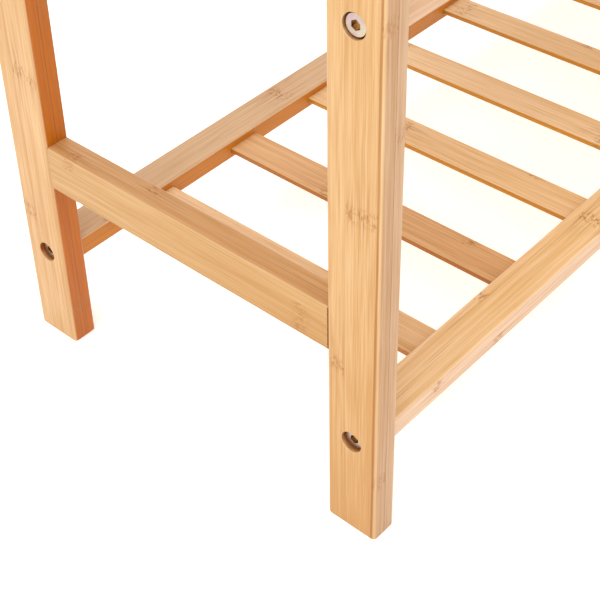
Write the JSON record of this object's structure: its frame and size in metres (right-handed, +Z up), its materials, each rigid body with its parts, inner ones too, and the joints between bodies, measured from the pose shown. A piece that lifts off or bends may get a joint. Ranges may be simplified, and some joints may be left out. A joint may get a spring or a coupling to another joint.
{
  "type": "entryway bench",
  "caption": "Slatted bamboo entryway bench on straight legs, with open ladder shelves under the seat, bolted through the legs.",
  "frame": {"origin": "on the floor, under the middle of the bench", "axes": "+X along the bench, +Y from the front to the back, +Z up"},
  "size_m": [0.83, 0.285, 0.45],
  "materials": {
    "bamboo_frame": "clear satin lacquer on laminated bamboo",
    "bamboo_rails": "clear satin lacquer on two-ply laminated bamboo",
    "bamboo_slats": "clear satin lacquer on bamboo strip",
    "dowel_wood": "plain turned wood",
    "zinc_bolts": "yellow zinc plated",
    "zinc_nuts": "bright zinc plated"
  },
  "bodies": {
    "root": {"back_left_leg": "bamboo_frame", "back_right_leg": "bamboo_frame", "barrel_nuts": "zinc_nuts", "connector_bolts": "zinc_bolts", "frame_dowels": "dowel_wood", "front_left_leg": "bamboo_frame", "front_right_leg": "bamboo_frame", "left_end_stretcher": "bamboo_frame", "left_top_crosspiece": "bamboo_frame", "lower_back_rail": "bamboo_rails", "lower_front_rail": "bamboo_rails", "lower_slat_01": "bamboo_slats", "lower_slat_02": "bamboo_slats", "lower_slat_03": "bamboo_slats", "lower_slat_04": "bamboo_slats", "lower_slat_05": "bamboo_slats", "lower_slat_06": "bamboo_slats", "lower_slat_07": "bamboo_slats", "lower_slat_08": "bamboo_slats", "lower_slat_09": "bamboo_slats", "rail_dowels": "dowel_wood", "right_end_stretcher": "bamboo_frame", "right_top_crosspiece": "bamboo_frame", "seat_back_rail": "bamboo_rails", "seat_front_rail": "bamboo_rails", "seat_slat_01": "bamboo_slats", "seat_slat_02": "bamboo_slats", "seat_slat_03": "bamboo_slats", "seat_slat_04": "bamboo_slats", "seat_slat_05": "bamboo_slats", "seat_slat_06": "bamboo_slats", "seat_slat_07": "bamboo_slats", "seat_slat_08": "bamboo_slats", "seat_slat_09": "bamboo_slats", "seat_slat_10": "bamboo_slats", "seat_slat_11": "bamboo_slats", "seat_slat_12": "bamboo_slats", "seat_slat_13": "bamboo_slats", "seat_slat_14": "bamboo_slats", "seat_slat_15": "bamboo_slats", "upper_back_rail": "bamboo_rails", "upper_front_rail": "bamboo_rails", "upper_slat_01": "bamboo_slats", "upper_slat_02": "bamboo_slats", "upper_slat_03": "bamboo_slats", "upper_slat_04": "bamboo_slats", "upper_slat_05": "bamboo_slats", "upper_slat_06": "bamboo_slats", "upper_slat_07": "bamboo_slats", "upper_slat_08": "bamboo_slats", "upper_slat_09": "bamboo_slats"}
  },
  "joints": []
}
